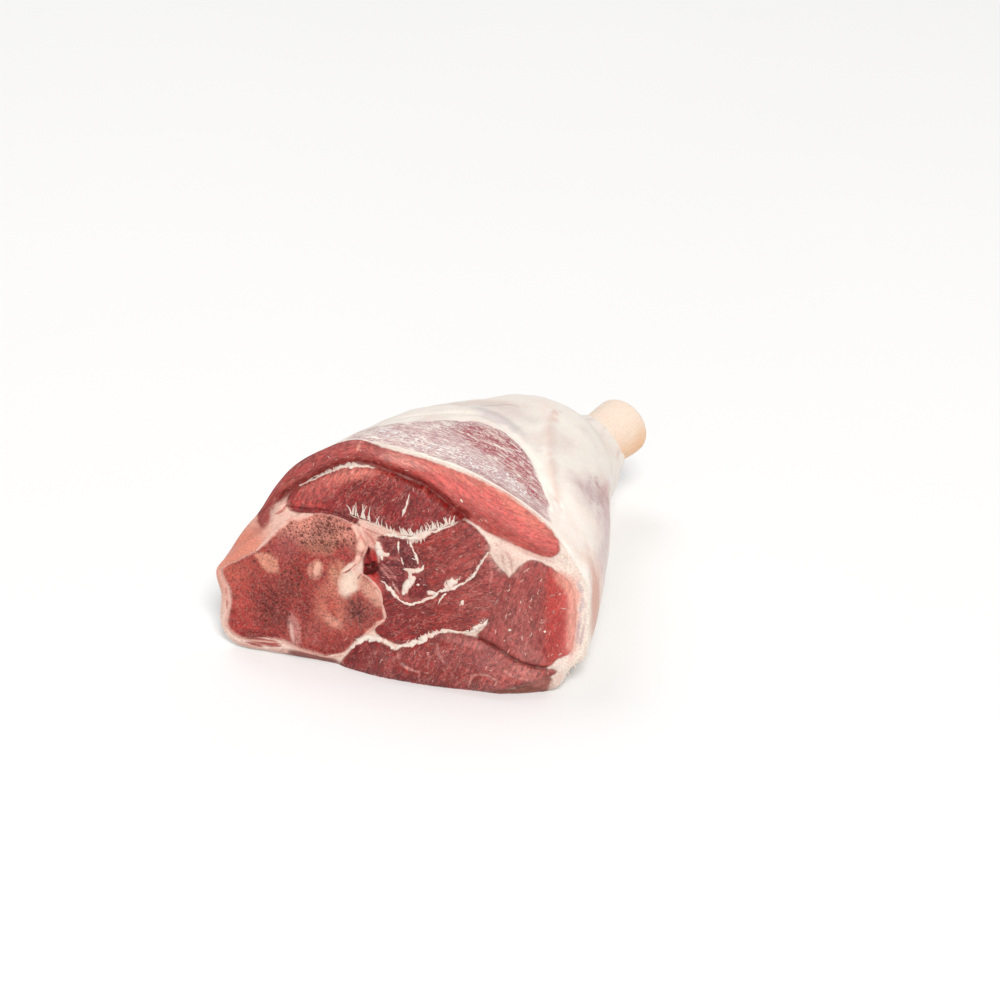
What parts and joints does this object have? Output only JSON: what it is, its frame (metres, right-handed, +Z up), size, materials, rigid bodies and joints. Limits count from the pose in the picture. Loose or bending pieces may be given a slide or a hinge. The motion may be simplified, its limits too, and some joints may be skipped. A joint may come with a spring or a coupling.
{
  "type": "raw lamb leg shank joint",
  "caption": "Raw bone-in shank end of a leg of lamb, cut across the knee end of the thigh bone, with a fat cover and a trimmed shank bone.",
  "frame": {"origin": "centre of the box's underside, on the surface that the joint lies on", "axes": "+Y along the leg from the cut face to the shank bone, +Z up, +X to the right seen from the cut face"},
  "size_m": [0.1106, 0.1402, 0.0682],
  "materials": {
    "meat": "moist raw lean with white fat seams, under a cream fat and membrane cover",
    "femur": "sawn spongy bone, red-pink with dark pores and a pale rim",
    "shank_bone": "smooth scraped bone, cream to peach"
  },
  "bodies": {
    "root": {"meat": "meat", "femur": "femur", "shank_bone": "shank_bone"}
  },
  "joints": []
}
